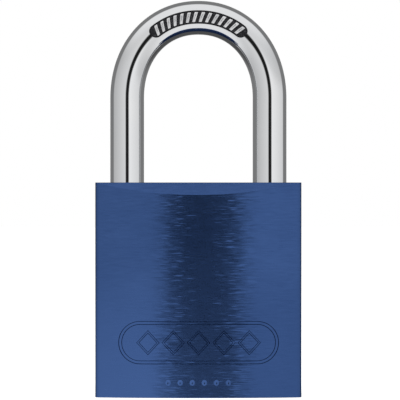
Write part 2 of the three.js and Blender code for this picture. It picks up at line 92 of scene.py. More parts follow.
# the body's outside
HALF_WIDTH = body_high[0]
HALF_DEPTH = body_high[1]
BODY_TOP = body_high[2]
FACE_CROWN = 2.4
EDGE_HALF_DEPTH = HALF_DEPTH - FACE_CROWN
FACE_RADIUS = (HALF_WIDTH**2 + FACE_CROWN**2) / (2 * FACE_CROWN)
CORNER_ROUND = 0.85
EDGE_ROUND = 0.13
FOOT_ROUND = 0.1

# the shackle
ROD = shackle_high[1]
LEG_X = shackle_high[0] - ROD
HEEL_END = shackle_low[2]
TOE_END = screw_high[2] + GAP
ARCH_RISE = 15.8
ARCH_POWER = 2.105
CROWN_Z = shackle_high[2] - ROD
SPRING_LINE = CROWN_Z - ARCH_RISE
NECK = 1.75
NECK_BOTTOM = HEEL_END + 2.2
NECK_TOP = dowel_high[2] + GAP
LEG_CHAMFER = 0.8

# the locking balls
BALL = (toe_ball_high[0] - toe_ball_low[0]) / 2
BALL_Z = (toe_ball_high[2] + toe_ball_low[2]) / 2
BALL_OUT = 9.1
BALL_TRAVEL = 1.6
NOTCH = BALL + SLIP

# the body's bores, and what fills them
BORE = ROD + ROOM
HEEL_FLOOR = 5.15
TOE_FLOOR = 27.75
CAVITY = -housing_low[0] + ROOM
LOBE_HALF = 3.5
LOBE_END = housing_high[0]
LOBE_TOP = 25.95
SCREW_X = (screw_low[0] + screw_high[0]) / 2
SCREW_SHANK = 1.5
SCREW_HEAD = 2.3
DOWEL = 1.1
DOWEL_Z = (dowel_low[2] + dowel_high[2]) / 2
CAM = 6.1
CAM_BORE = 6.3
TANG_LONG = 3.0
TANG_HALF = 1.3

# the plug and the pins
PLUG = plug_high[0]
PLUG_BORE = PLUG + SLIP
PLUG_SHOULDER = 26.935
PLUG_NECK = 3.9
NECK_END = 30.135
CHAMBER = 1.35
PIN = 1.25
PIN_SPRING_LENGTH = 6.1

# the crown's recess and its bars
CARTOUCHE_HALF = 8.85
CARTOUCHE_WIDTH = 1.35
CARTOUCHE_DEPTH = 0.22
BAR_ROW = 8.6
BAR_COUNT = 14
BAR_LEAN = 0.3

# the front's decoration
FRAME_CENTRE = (0.05, 10.67)
FRAME_HALF = (15.17, 3.81)
DIAMOND_HALF = (1.95, 2.1)
DIAMOND_SPACING = 4.9
DOT_ROW = 2.95
DOT_SPACING = 2.35
DOT_BALL = 1.0
DOT_DEPTH = 0.17


# ------------------------ surfaces

def arc(centre, radius, start, end, steps):
    """Points of a circle's arc in a plane: centre plus radius times (cos, sin) of evenly spaced degrees."""
    angle = np.radians(np.linspace(start, end, steps))
    return np.stack([centre[0] + radius * np.cos(angle), centre[1] + radius * np.sin(angle)], -1)


def bezier(t, a, b, c):
    """Quadratic Bezier: (1 - t)^2 a + 2 t (1 - t) b + t^2 c."""
    return (1 - t) ** 2 * a + 2 * t * (1 - t) * b + t**2 * c


def miter(outline):
    """Outward offset of one unit at each corner of a closed anticlockwise outline: the sum of the two
    edges' normals over one plus their dot product."""
    edge = np.roll(outline, -1, 0) - outline
    edge = edge / np.linalg.norm(edge, axis=1, keepdims=True)
    after = np.stack([edge[:, 1], -edge[:, 0]], -1)
    before = np.roll(after, 1, 0)
    return (before + after) / (1 + np.sum(before * after, 1, keepdims=True))


def quads(rows, columns, wrap_rows=False, wrap_columns=False):
    """Faces between neighbours on a grid of points: (r, c), (r, c+1), (r+1, c+1), (r+1, c)."""
    r = np.arange(rows if wrap_rows else rows - 1)[:, None]
    c = np.arange(columns if wrap_columns else columns - 1)[None, :]
    up, along = (r + 1) % rows, (c + 1) % columns
    corners = [r * columns + c, r * columns + along, up * columns + along, up * columns + c]
    return np.stack(np.broadcast_arrays(*corners), -1).reshape(-1, 4)


def surface(points, wrap_rows=False, wrap_columns=False, capped=False, tones=None):
    """A grid of points as a shell. capped closes the first and last row, tones numbers each row's finish."""
    rows, columns = points.shape[:2]
    faces = quads(rows, columns, wrap_rows, wrap_columns)
    caps = [np.arange(columns)[::-1], np.arange(columns) + (rows - 1) * columns] if capped else []
    per_row = columns if wrap_columns else columns - 1
    tone = np.zeros(len(faces), int) if tones is None else np.repeat(tones, per_row)
    return {"points": points.reshape(-1, 3), "faces": faces, "caps": caps, "tone": tone}


def joined(*shells):
    """Several shells as one: the points end to end, with each shell's faces moved along by what is before."""
    start = np.cumsum([0] + [len(s["points"]) for s in shells[:-1]])
    return {
        "points": np.concatenate([s["points"] for s in shells]),
        "faces": np.concatenate([s["faces"] + n for s, n in zip(shells, start)]),
        "caps": [cap + n for s, n in zip(shells, start) for cap in s["caps"]],
        "tone": np.concatenate([s["tone"] for s in shells]),
    }


def lathe(profile, sides, centre=(0, 0, 0)):
    """A profile of (radius, height) turned about Z: (r cos a, r sin a, h)."""
    profile = np.array(profile, float)
    angle = TURN * np.arange(sides) / sides
    ring = np.stack([np.cos(angle), np.sin(angle), np.zeros(sides)], -1)
    points = profile[:, None, :1] * ring[None] + profile[:, None, 1:] * np.array([0, 0, 1])
    return surface(points + np.array(centre), wrap_columns=True)


def prism(outline, levels):
    """A closed outline in X and Y raised through levels of (inset, height): each level is the outline less
    inset times its miter, and the first and last levels are capped."""
    outline = np.array(outline, float)
    outward = miter(outline)
    rows = [np.insert(outline - inset * outward, 2, height, 1) for inset, height in levels]
    return surface(np.stack(rows), wrap_columns=True, capped=True)


def bar(radius, low, high):
    """Profile of a plain round bar to be turned: flat ends and a straight side."""
    return [(0, low), (radius, low), (radius, high), (0, high)]


def rounded_box(low, high, corner):
    """Outline of a rectangle whose corners are quarter circles."""
    (x0, y0), (x1, y1) = low, high
    corners = [((x1, y0), -90), ((x1, y1), 0), ((x0, y1), 90), ((x0, y0), 180)]
    middle = np.array([(x0 + x1) / 2, (y0 + y1) / 2])
    arcs = []
    for point, start in corners:
        towards = np.sign(middle - np.array(point))
        arcs.append(arc(np.array(point) + corner * towards, corner, start, start + 90, 5))
    return np.concatenate(arcs)


def helix(radius, wire, height, turns, per_turn, sides):
    """A coil spring standing on Z = 0. The wire's centre climbs a wire's thickness a turn in the first and
    last turn, which lie closed, and evenly faster between them; its section is a circle."""
    t = np.linspace(0, turns, int(turns * per_turn) + 1)
    open_share = np.clip((np.minimum(t, turns - t) - 0.75) / 0.5, 0, 1)
    open_share = open_share**2 * (3 - 2 * open_share)
    closed_pitch, climb = wire * 1.03, height - wire
    extra = (climb - closed_pitch * turns) * open_share / open_share.sum()
    rise = np.concatenate([[0], np.cumsum((extra[1:] + extra[:-1]) / 2)])
    z = wire / 2 + closed_pitch * t + rise
    a = TURN * t[:, None]
    b = TURN * np.arange(sides)[None] / sides
    out = radius + wire / 2 * np.cos(b)
    points = np.stack([out * np.cos(a), out * np.sin(a), z[:, None] + wire / 2 * np.sin(b) + 0 * a], -1)
    return surface(points, wrap_columns=True, capped=True)


def rectangle(low, high):
    """Outline of a plain rectangle, anticlockwise from its lowest corner."""
    return np.array([low, (high[0], low[1]), high, (low[0], high[1])], float)


def placed(shell, matrix=None, offset=(0, 0, 0)):
    """A shell turned by a 3x3 matrix and then moved."""
    points = shell["points"] if matrix is None else shell["points"] @ np.array(matrix, float).T
    return {**shell, "points": points + np.array(offset, float)}


# Turns for placed: what was made upright lies along an axis, or is turned a quarter about Z.
ALONG_X = [[0, 0, 1], [0, 1, 0], [-1, 0, 0]]
PLATE_ALONG_X = [[0, 0, 1], [1, 0, 0], [0, 1, 0]]
ALONG_Y = [[1, 0, 0], [0, 0, 1], [0, -1, 0]]
QUARTER_TURN = [[0, -1, 0], [1, 0, 0], [0, 0, 1]]


# ------------------------ meshes

def mesh_of(name, shell, finishes):
    """The shell as a mesh in metres, its doubles merged so that seams and poles close, its faces outward."""
    mesh = bpy.data.meshes.new(name)
    faces = shell["faces"].tolist() + [cap.tolist() for cap in shell["caps"]]
    mesh.from_pydata((shell["points"] * MM).tolist(), [], faces)
    tone = np.concatenate([shell["tone"], np.zeros(len(shell["caps"]), int)])
    mesh.polygons.foreach_set("material_index", tone.astype(np.int32))
    for one in finishes:
        mesh.materials.append(one)
    work = bmesh.new()
    work.from_mesh(mesh)
    bmesh.ops.remove_doubles(work, verts=work.verts, dist=1e-7)
    bmesh.ops.recalc_face_normals(work, faces=work.faces)
    work.to_mesh(mesh)
    work.free()
    return mesh


def put(name, shell, *finishes):
    """The shell as an object in the scene."""
    piece = bpy.data.objects.new(name, mesh_of(name, shell, finishes))
    bpy.context.scene.collection.objects.link(piece)
    return piece


def carve(piece, operation, finishes, *shells):
    """Cuts or adds closed shells, each as an object of its own, with exact Boolean modifiers that are then
    applied. A cut face keeps its shell's finish."""
    tools = [put(f"tool_{i}", shell, *finishes) for i, shell in enumerate(shells)]
    for tool in tools:
        modifier = piece.modifiers.new("carve", "BOOLEAN")
        modifier.operation = operation
        modifier.solver = "EXACT"
        modifier.material_mode = "TRANSFER"
        modifier.object = tool
    applied(piece)
    for tool in tools:
        bpy.data.objects.remove(tool)


def applied(piece):
    """Makes the piece's modifiers part of its mesh."""
    settled = bpy.data.meshes.new_from_object(piece.evaluated_get(bpy.context.evaluated_depsgraph_get()))
    piece.modifiers.clear()
    piece.data = settled


def settle(piece, node, sharp=32):
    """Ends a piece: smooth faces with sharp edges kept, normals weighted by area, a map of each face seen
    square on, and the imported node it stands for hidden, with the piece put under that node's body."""
    mesh = piece.data
    mesh.shade_smooth()
    mesh.set_sharp_from_angle(angle=math.radians(sharp))
    square_map(mesh)
    piece.modifiers.new("even_normals", "WEIGHTED_NORMAL").keep_sharp = True
    applied(piece)
    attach(piece, body_of[node])
    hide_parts(node)
    return piece


def read(items, field, width=3, kind=np.float32):
    """One field of a mesh's points, corners or faces as an array, with a row for each."""
    values = np.empty(len(items) * width, kind)
    items.foreach_get(field, values)
    return values.reshape(-1, width) if width > 1 else values


def by_corner(mesh):
    """The place of each face corner, and its face's normal."""
    place = read(mesh.vertices, "co")[read(mesh.loops, "vertex_index", 1, np.int32)]
    sides = read(mesh.polygons, "loop_total", 1, np.int32)
    return place, np.repeat(read(mesh.polygons, "normal"), sides, axis=0)


def square_map(mesh):
    """UV of each corner: the two coordinates, in metres, that its face looks along least."""
    place, normal = by_corner(mesh)
    facing = np.abs(normal).argmax(1)
    u = np.where(facing == 0, place[:, 1], place[:, 0])
    v = np.where(facing == 2, place[:, 1], place[:, 2])
    layer = mesh.uv_layers.get("square") or mesh.uv_layers.new(name="square")
    layer.data.foreach_set("uv", np.stack([u, v], -1).astype(np.float32).ravel())


# ------------------------ finishes

def add(near, kind, inputs=None, **settings):
    """A shader node of a kind, with its settings and inputs, in the tree that near belongs to."""
    node = near.id_data.nodes.new("ShaderNode" + kind)
    for key, value in settings.items():
        setattr(node, key, value)
    feed(node, inputs or {})
    return node


def feed(node, inputs):
    """Gives each named input of a node a number, a colour or another node's socket."""
    for key, value in inputs.items():
        if isinstance(value, bpy.types.NodeSocket):
            node.id_data.links.new(value, node.inputs[key])
        else:
            node.inputs[key].default_value = value


def maths(operation, *values):
    """One step of arithmetic on sockets and numbers."""
    socket = next(value for value in values if isinstance(value, bpy.types.NodeSocket))
    return add(socket, "Math", dict(enumerate(values)), operation=operation).outputs[0]


def times(first, second):
    """First times second."""
    return maths("MULTIPLY", first, second)


def plus(first, second):
    """First plus second."""
    return maths("ADD", first, second)


def between(amount, first, second):
    """Number between two, by amount: first * (1 - amount) + second * amount."""
    rest = maths("SUBTRACT", 1.0, amount)
    return plus(times(first, rest), times(second, amount))


def span_map(value, low, high, to_low=0.0, to_high=1.0, smooth=True):
    """Value from low to high becomes to_low to to_high, with a soft start and end."""
    inputs = {"Value": value, "From Min": low, "From Max": high, "To Min": to_low, "To Max": to_high}
    kind = "SMOOTHSTEP" if smooth else "LINEAR"
    return add(value, "MapRange", inputs, interpolation_type=kind).outputs["Result"]


def mixed(amount, first, second):
    """Colour between two, by amount."""
    return add(amount, "Mix", {0: amount, 6: first, 7: second}, data_type="RGBA").outputs[2]


def noise(place, stretch, detail=2.0, roughness=0.5):
    """Noise whose features are one unit across after the place is multiplied by stretch, per metre."""
    mapping = add(place, "Mapping", {"Vector": place, "Scale": stretch})
    inputs = {"Vector": mapping.outputs[0], "Scale": 1.0, "Detail": detail, "Roughness": roughness}
    return add(place, "TexNoise", inputs).outputs["Fac"]


def metal(name, colour, roughness):
    """A metal to be detailed: its material, its shader and the object's own coordinates."""
    material = bpy.data.materials.new(name)
    material.use_nodes = True
    shader = material.node_tree.nodes["Principled BSDF"]
    feed(shader, {"Base Color": (*colour, 1), "Metallic": 1.0, "Roughness": roughness})
    return material, shader, add(shader, "TexCoord").outputs["Object"]


def shade_range(shader, value, dark, light):
    """Base colour from dark to light as the value goes from 0 to 1."""
    feed(shader, {"Base Color": mixed(value, (*dark, 1), (*light, 1))})


def tilted(shader, *tilts):
    """Turns the surface's normal by noises: the normal plus each (noise - 1/2) times a vector, made unit."""
    normal = add(shader, "NewGeometry").outputs["Normal"]
    for value, vector in tilts:
        centred = maths("SUBTRACT", value, 0.5)
        push = add(shader, "VectorMath", {0: vector, "Scale": centred}, operation="SCALE").outputs[0]
        normal = add(shader, "VectorMath", {0: normal, 1: push}, operation="ADD").outputs[0]
    unit = add(shader, "VectorMath", {0: normal}, operation="NORMALIZE").outputs[0]
    feed(shader, {"Normal": unit})


def bumped(shader, height, depth, strength=1.0):
    """Bump of the given depth in metres."""
    bump = add(shader, "Bump", {"Height": height, "Distance": depth, "Strength": strength})
    feed(shader, {"Normal": bump.outputs[0]})


def brushed_blue(name, dark, light, roughness):
    """Anodised aluminium brushed along the horizontal: each streak is a fine line, a few millimetres long,
    with its own tilt, shade and roughness, over broad faint clouds of the dye. Towards the foot the colour is
    painted paler on the left, painted light, and darker on the right, painted shade. Glints are streaks that
    face further away from the middle."""
    material, shader, place = metal(name, light, roughness)
    streak = noise(place, (420, 420, 5200), 3, 0.6)
    hair = noise(place, (900, 900, 16000), 2, 0.6)
    sideways = noise(place, (330, 330, 3900), 2, 0.55)
    cloud = noise(place, (60, 60, 90), 2, 0.5)
    rubbed = span_map(noise(place, (260, 260, 9000), 1, 0.5), 0.62, 0.78)
    glint = span_map(noise(place, (400, 400, 5200), 1, 0.5), 0.55, 0.76)
    across, _, up = add(shader, "SeparateXYZ", {"Vector": place}).outputs
    aside = plus(times(glint, span_map(across, 0.0, 0.002, -1.0, 1.0)), 0.5)
    tilted(shader, (hair, (0, 0, 0.16)), (streak, (0, 0, 0.12)), (sideways, (0.11, 0.11, 0)),
           (aside, (0.07, 0, 0)))
    tone = plus(times(streak, 0.6), times(cloud, 0.4))
    shade = mixed(span_map(tone, 0.3, 0.7, smooth=False), (*dark, 1), (*light, 1))
    # painted light and shade towards the foot: a paler blue on the left, a darker blue on the right
    low = span_map(up, 0.036, 0.0)
    painted_light_low_left = times(low, span_map(across, 0.012, -0.004, 0.0, 0.75))
    painted_shade_low_right = times(low, span_map(across, 0.004, 0.012, 0.0, 0.6))
    # painted light: the paler blue low on the left
    shade = mixed(painted_light_low_left, shade, (*[1.28 * part for part in light], 1))
    rough = plus(times(hair, 0.1), roughness - 0.05)
    tangent = add(shader, "Tangent", direction_type="UV_MAP", uv_map="square").outputs[0]
    feed(shader, {
        "Base Color": mixed(painted_shade_low_right, shade, (*dark, 1)),
        "Roughness": plus(rough, times(rubbed, 0.08)),
        "Anisotropic": 0.9, "Anisotropic Rotation": 0.25, "Tangent": tangent,
    })
    return material


def polished_chrome():
    """Bright chrome: nearly smooth, with faint hairlines, a slow waviness from the polishing and specks."""
    material, shader, place = metal("polished_chrome", (0.86, 0.87, 0.89), 0.05)
    wave = noise(place, [110] * 3, 2, 0.5)
    hair = noise(place, (700, 700, 9000), 3, 0.6)
    speck = span_map(noise(place, [2600] * 3, 1, 0.5), 0.7, 0.8)
    shade_range(shader, wave, (0.80, 0.815, 0.84), (0.88, 0.885, 0.89))
    rough = plus(times(hair, 0.04), 0.03)
    feed(shader, {"Roughness": plus(rough, times(speck, 0.05))})
    tilted(shader, (wave, (0.012, 0.012, 0.012)), (hair, (0, 0, 0.012)))
    return material


def pitted_paint():
    """Black paint wiped into a stamped recess: matt, uneven, with the floor's grain showing through."""
    material, shader, place = metal("recess_paint", (0.012, 0.012, 0.014), 0.5)
    grain = noise(place, [3800] * 3, 3, 0.6)
    shade_range(shader, span_map(grain, 0.45, 0.75), (0.008, 0.008, 0.01), (0.05, 0.05, 0.055))
    rough = span_map(grain, 0.3, 0.7, 0.4, 0.65)
    feed(shader, {"Metallic": 0.0, "Specular IOR Level": 0.2, "Roughness": rough})
    bumped(shader, grain, 4e-5)
    return material


def turned_brass(name, dark, light):
    """Machined brass: rings about the part's own axis where the tool went round, with darker tarnish in
    slow patches and small nicks."""
    material, shader, place = metal(name, light, 0.26)
    flat = add(shader, "Mapping", {"Vector": place, "Scale": (1, 1, 0)}).outputs[0]
    radius = add(shader, "VectorMath", {0: flat}, operation="LENGTH").outputs["Value"]
    height = add(shader, "SeparateXYZ", {"Vector": place}).outputs["Z"]
    ring = add(shader, "CombineXYZ", {"X": radius, "Y": height, "Z": 0.0}).outputs[0]
    groove = noise(ring, (9000, 9000, 1), 2, 0.6)
    tarnish = noise(place, [240] * 3, 4, 0.6)
    nick = span_map(noise(place, [1500] * 3, 2, 0.5), 0.68, 0.75)
    tone = plus(times(groove, 0.35), times(tarnish, 0.65))
    shade_range(shader, span_map(tone, 0.32, 0.62), dark, light)
    feed(shader, {"Roughness": span_map(tarnish, 0.3, 0.7, 0.34, 0.2)})
    relief = maths("SUBTRACT", groove, times(nick, 0.6))
    bumped(shader, relief, 1.2e-5, 0.7)
    return material


def worked_metal(name, dark, light, roughness, grain, depth):
    """Small turned, ground or drawn parts: a directional grain, slow patches of shade and worn, brighter
    spots."""
    material, shader, place = metal(name, light, roughness)
    lines = noise(place, grain, 3, 0.6)
    patch = noise(place, [420] * 3, 3, 0.55)
    worn = span_map(noise(place, [1300] * 3, 2, 0.5), 0.6, 0.72)
    tone = plus(times(lines, 0.4), times(patch, 0.6))
    tone = plus(span_map(tone, 0.3, 0.65), times(worn, 0.25))
    shade_range(shader, tone, dark, light)
    rough = span_map(patch, 0.3, 0.7, roughness + 0.07, roughness - 0.04)
    feed(shader, {"Roughness": rough})
    bumped(shader, lines, depth, 0.6)
    return material


anodised = brushed_blue("anodised_blue", (0.040, 0.088, 0.245), (0.062, 0.128, 0.335), 0.22)
# painted shade: a darker blue for the body's flat top
top_blue_painted_shade = brushed_blue("anodised_blue_top_painted_shade", (0.012, 0.024, 0.070), (0.026, 0.050, 0.130), 0.30)
# painted shade: a darker blue for the walls of cuts and grooves
cut_blue_painted_shade = brushed_blue("anodised_blue_cut_painted_shade", (0.012, 0.030, 0.085), (0.026, 0.058, 0.150), 0.42)
chrome = polished_chrome()
paint = pitted_paint()
brass_housing = turned_brass("turned_brass", (0.46, 0.29, 0.09), (0.78, 0.56, 0.22))
brass_plug = turned_brass("turned_brass_plug", (0.50, 0.33, 0.11), (0.84, 0.62, 0.27))
brass_pin = worked_metal("brass_pins", (0.48, 0.31, 0.10), (0.80, 0.57, 0.24), 0.25, (5200, 900, 5200), 8e-6)
nickel = worked_metal("nickel_silver", (0.44, 0.43, 0.39), (0.68, 0.66, 0.60), 0.24, (6200, 900, 900), 8e-6)
stamped = worked_metal("stamped_chrome", (0.70, 0.71, 0.73), (0.92, 0.92, 0.93), 0.34, [2600] * 3, 6e-6)
ground = worked_metal("ground_steel", (0.36, 0.37, 0.39), (0.60, 0.61, 0.63), 0.20, (900, 900, 6400), 8e-6)
drawn = worked_metal("spring_wire", (0.24, 0.24, 0.25), (0.50, 0.50, 0.52), 0.28, [3200] * 3, 1e-5)
oxide = worked_metal("black_oxide", (0.018, 0.018, 0.020), (0.060, 0.060, 0.066), 0.42, [3600] * 3, 1.4e-5)


# ------------------------ body

def face_depth(x):
    """Depth of the crowned face at x: a circle through the middle's depth and the edges' depth."""
    return np.sqrt(FACE_RADIUS**2 - np.asarray(x, float) ** 2) - (FACE_RADIUS - HALF_DEPTH)


def body_plan():
    """The body's plan, anticlockwise: front face, corner, narrow side, corner, back face, and round again.
    A corner is a quadratic Bezier from the face's end to the side's end, drawn towards where they meet."""
    inner = HALF_WIDTH - CORNER_ROUND
    x = np.linspace(-inner, inner, 101)
    front = np.stack([x, -face_depth(x)], -1)
    t = np.linspace(0, 1, 8)[1:-1, None]
    start, corner = front[-1], np.array([HALF_WIDTH, -EDGE_HALF_DEPTH])
    end = np.array([HALF_WIDTH, -EDGE_HALF_DEPTH + CORNER_ROUND])
    turn = bezier(t, start, corner, end)
    side = np.stack([np.full(6, HALF_WIDTH), np.linspace(end[1], -end[1], 6)], -1)
    half = np.concatenate([front, turn, side, (turn * [1, -1])[::-1]])
    return np.concatenate([half, -half])


def body_skin():
    """The outside as columns on the plan. Going up: a quarter round at the foot, the straight wall, then
    the top edge, which is a cubic Bezier over A, B, C, D where the chamfer is short and two quadratic
    Beziers, A-B-M and M-C-D about the chamfer's middle M, where it is long."""
    plan = body_plan()
    outward = miter(plan)
    depth = np.abs(plan[:, 1])
    chamfer = np.maximum(depth - EDGE_HALF_DEPTH, 0)
    wall_top = BODY_TOP - chamfer
    straight_in = np.stack([np.zeros(len(plan)), -np.sign(plan[:, 1])], -1)
    inward = np.where((chamfer > 0)[:, None], straight_in, -outward)

    quarter = np.radians(np.linspace(90, 0, 5))
    foot_inset = FOOT_ROUND * (1 - np.cos(quarter))[:, None]
    foot_z = FOOT_ROUND * (1 - np.sin(quarter))[:, None]
    foot = plan - foot_inset[..., None] * outward
    foot = np.dstack([foot, np.broadcast_to(foot_z, foot.shape[:2])])

    zero = np.zeros(len(plan))
    full = np.full(len(plan), BODY_TOP)
    a = np.stack([zero, wall_top - EDGE_ROUND], -1)
    b = np.stack([zero, wall_top], -1)
    c = np.stack([chamfer, full], -1)
    d = np.stack([chamfer + EDGE_ROUND, full], -1)
    along = (c - b) / np.maximum(chamfer * math.sqrt(2), 1e-6)[:, None]
    near = np.minimum(EDGE_ROUND, chamfer / 2)[:, None]
    t = np.linspace(0, 1, 5)[:, None, None]
    edges = np.concatenate([bezier(t, a, b, b + near * along), bezier(t, c - near * along, c, d)])
    s = np.linspace(0, 1, len(edges))[:, None, None]
    cubic = (1 - s) ** 3 * a + 3 * s * (1 - s) ** 2 * b + 3 * s**2 * (1 - s) * c + s**3 * d
    share = np.clip(chamfer / (3 * EDGE_ROUND), 0, 1)[None, :, None]
    profile = share * edges + (1 - share) * cubic
    top = np.dstack([plan + profile[..., :1] * inward, profile[..., 1:]])
    return surface(np.concatenate([foot, top]), wrap_columns=True, capped=True)


def on_front(x, z, depth):
    """Points on the front face, sunk by depth."""
    return np.stack([x, depth - face_depth(x), z], -1)


def stepped(outline, step):
    """A closed outline with more points, so that none is further than a step from the next: each edge is
    divided evenly."""
    ahead = np.roll(outline, -1, 0)
    parts = np.maximum(np.ceil(np.linalg.norm(ahead - outline, axis=1) / step), 1).astype(int)
    start = np.repeat(np.arange(len(outline)), parts)
    share = (np.arange(parts.sum()) - np.repeat(np.cumsum(parts) - parts, parts)) / parts[start]
    return outline[start] + share[:, None] * (ahead - outline)[start]


def groove_tool(outline, width, depth, slope):
    """A cutter for a groove along a closed outline on the front face. Its section is a trapezium: from
    outside the face down one wall, along the floor and up the other wall. The walls take the second finish,
    the darker blue of painted shade, and the floor the first."""
    outline = stepped(outline, 0.6)
    outward = miter(outline)
    above = 0.08
    wide = width / 2 + slope * above / depth
    section = [(-wide, -above), (slope - width / 2, depth), (width / 2 - slope, depth), (wide, -above)]
    rows = [on_front(*(outline + off * outward).T, down) for off, down in section]
    return surface(np.stack(rows), wrap_rows=True, wrap_columns=True, tones=[1, 0, 1, 1])


def frame_outline(half_length, half_height):
    """A stadium about the origin."""
    right = arc((half_length - half_height, 0), half_height, -90, 90, 26)
    return np.concatenate([right, -right])


def bore_tool(floor):
    """A drill for a leg's bore: flat floor, straight wall and a small countersink at the body's top."""
    ease, flare, mouth = 0.12, 0.3, BODY_TOP
    wall = [(0, floor), (BORE - ease, floor), (BORE, floor + ease), (BORE, mouth - flare)]
    return wall + [(BORE + flare, mouth), (BORE + flare, mouth + 1), (0, mouth + 1)]


def front_marks():
    """The front's decoration: a grooved frame, a row of diamonds in outline and a row of dots."""
    tools = [groove_tool(frame_outline(*FRAME_HALF) + FRAME_CENTRE, width=0.72, depth=0.2, slope=0.13)]
    across, up = DIAMOND_HALF
    for i in range(-2, 3):
        diamond = np.array([(-across, 0), (0, -up), (across, 0), (0, up)]) + FRAME_CENTRE
        tools.append(groove_tool(diamond + (i * DIAMOND_SPACING, 0), width=0.42, depth=0.15, slope=0.1))
    ball = lathe(arc((0, 0), DOT_BALL, -90, 90, 13), 28)
    for x in (np.arange(6) - 2.5) * DOT_SPACING:
        tools.append(placed(ball, offset=(x, DOT_DEPTH - DOT_BALL - face_depth(x), DOT_ROW)))
    return joined(*tools)


def true_crowns(mesh):
    """Gives the corners that lie on a crowned face the face's exact normal, (x, y - centre of the crown),
    made unit, so that long cut faces reflect as one curve. Other corners keep theirs."""
    normals = read(mesh.corner_normals, "vector")
    place, facing = by_corner(mesh)
    x, y = place[:, 0] / MM, place[:, 1] / MM
    exact = np.stack([x, y + np.sign(y) * (FACE_RADIUS - HALF_DEPTH), np.zeros(len(place))], -1) / FACE_RADIUS
    on_crown = np.abs(np.linalg.norm(exact, axis=1) - 1) * FACE_RADIUS < 0.004
    aligned = np.sum(facing * exact, 1) > math.cos(math.radians(2))
    chosen = on_crown & aligned
    normals[chosen] = exact[chosen] / np.linalg.norm(exact[chosen], axis=1, keepdims=True)
    mesh.normals_split_custom_set(normals.tolist())


def make_body():
    """The outside, less the legs' bores, the cylinder's room, the cam's room, the balls' channel, the holes
    of the screw and the dowel, and the decoration, whose cut walls are painted a darker blue, painted shade.
    Its flat top is painted a darker blue of its own, painted shade."""
    body = put("body_shell", body_skin(), anodised)
    ease = 0.25
    lobe = rounded_box((0, -LOBE_HALF - ROOM), (LOBE_END + ROOM, LOBE_HALF + ROOM), ease)
    lobe_levels = [(-ease, -1), (-ease, 0), (0, ease), (0, LOBE_TOP + ROOM)]
    top = housing_high[2] + SLIP
    barrel = [(0, -1), (CAVITY + ease, -1), (CAVITY + ease, 0), (CAVITY, ease), (CAVITY, top), (0, top)]
    tools = [
        lathe(bore_tool(HEEL_FLOOR), 72, (-LEG_X, 0, 0)),
        lathe(bore_tool(TOE_FLOOR), 72, (LEG_X, 0, 0)),
        lathe(barrel, 96),
        prism(lobe, lobe_levels),
        lathe(bar(CAM_BORE, 20, cam_high[2] + GAP), 72),
        placed(lathe(bar(NOTCH, 0, 2 * LEG_X), 48), ALONG_X, (-LEG_X, 0, BALL_Z)),
        lathe(bar(SCREW_SHANK + 0.15, 24, TOE_FLOOR + 1), 32, (SCREW_X, 0, 0)),
        placed(lathe(bar(DOWEL + 0.05, 0, LEG_X), 32), ALONG_X, (-LEG_X, 0, DOWEL_Z)),
    ]
    # painted shade: the cut walls of the bores and rooms get the darker blue
    carve(body, "DIFFERENCE", [cut_blue_painted_shade], *tools)
    # painted shade: the grooves' walls get the darker blue, their floors and the dots the body's blue
    carve(body, "DIFFERENCE", [anodised, cut_blue_painted_shade], front_marks())
    # painted shade: faces of the flat top get the darker blue
    body.data.materials.append(top_blue_painted_shade)
    faces = body.data.polygons
    tone = read(faces, "material_index", 1, np.int32)
    level = read(faces, "normal")[:, 2] > 0.95
    tone[level & (read(faces, "center")[:, 2] > (BODY_TOP - 0.1) * MM)] = len(body.data.materials) - 1
    faces.foreach_set("material_index", tone)
    settle(body, "body", sharp=28)
    true_crowns(body.data)


# ------------------------ shackle

def arch(angle):
    """Centre line of the arch at an angle from the heel: a superellipse."""
    power = 2 / ARCH_POWER
    x = -np.sign(np.cos(angle)) * np.abs(np.cos(angle)) ** power * LEG_X
    return np.stack([x, SPRING_LINE + np.abs(np.sin(angle)) ** power * ARCH_RISE], -1)


def tube(centre, direction, around, radius):
    """Points round a line in the XZ plane: centre + radius (cos a * square to the line + sin a * Y)."""
    across = np.stack([-direction[..., 1], direction[..., 0]], -1)
    flat = centre + radius[..., None] * np.cos(around)[..., None] * across
    return np.stack([flat[..., 0], radius * np.sin(around) + 0 * flat[..., 0], flat[..., 1]], -1)


def shackle_rod():
    """The rod as rings along its centre line. Each leg is a list of (height, radius), and the arch has the
    rod's own radius throughout."""
    ease, straight_end = 0.2, SPRING_LINE - 8
    heel = [(HEEL_END, 0), (HEEL_END, ROD - LEG_CHAMFER), (HEEL_END + LEG_CHAMFER, ROD)]
    heel += [(NECK_BOTTOM - ease, ROD), (NECK_BOTTOM, ROD - ease), (NECK_BOTTOM, NECK)]
    heel += [(NECK_TOP, NECK), (NECK_TOP, ROD - ease), (NECK_TOP + ease, ROD), (straight_end, ROD)]
    toe = [(straight_end, ROD), (TOE_END + LEG_CHAMFER, ROD), (TOE_END, ROD - LEG_CHAMFER), (TOE_END, 0)]
    heel, toe = np.array(heel, float), np.array(toe, float)
    centre = arch(np.linspace(0, math.pi, 121))
    direction = np.gradient(centre, axis=0)
    direction[0], direction[-1] = (0, 1), (0, -1)
    direction = direction / np.linalg.norm(direction, axis=1, keepdims=True)
    radius = np.concatenate([heel[:, 1], np.full(len(centre), ROD), toe[:, 1]])
    up, down = [np.insert(leg[:, :1], 0, x, 1) for leg, x in ((heel, -LEG_X), (toe, LEG_X))]
    centre = np.concatenate([up, centre, down])
    direction = np.concatenate([[(0, 1)] * len(heel), direction, [(0, -1)] * len(toe)])
    rings = tube(centre[:, None], direction[:, None], TURN * np.arange(72) / 72, radius[:, None])
    return surface(rings, wrap_columns=True)


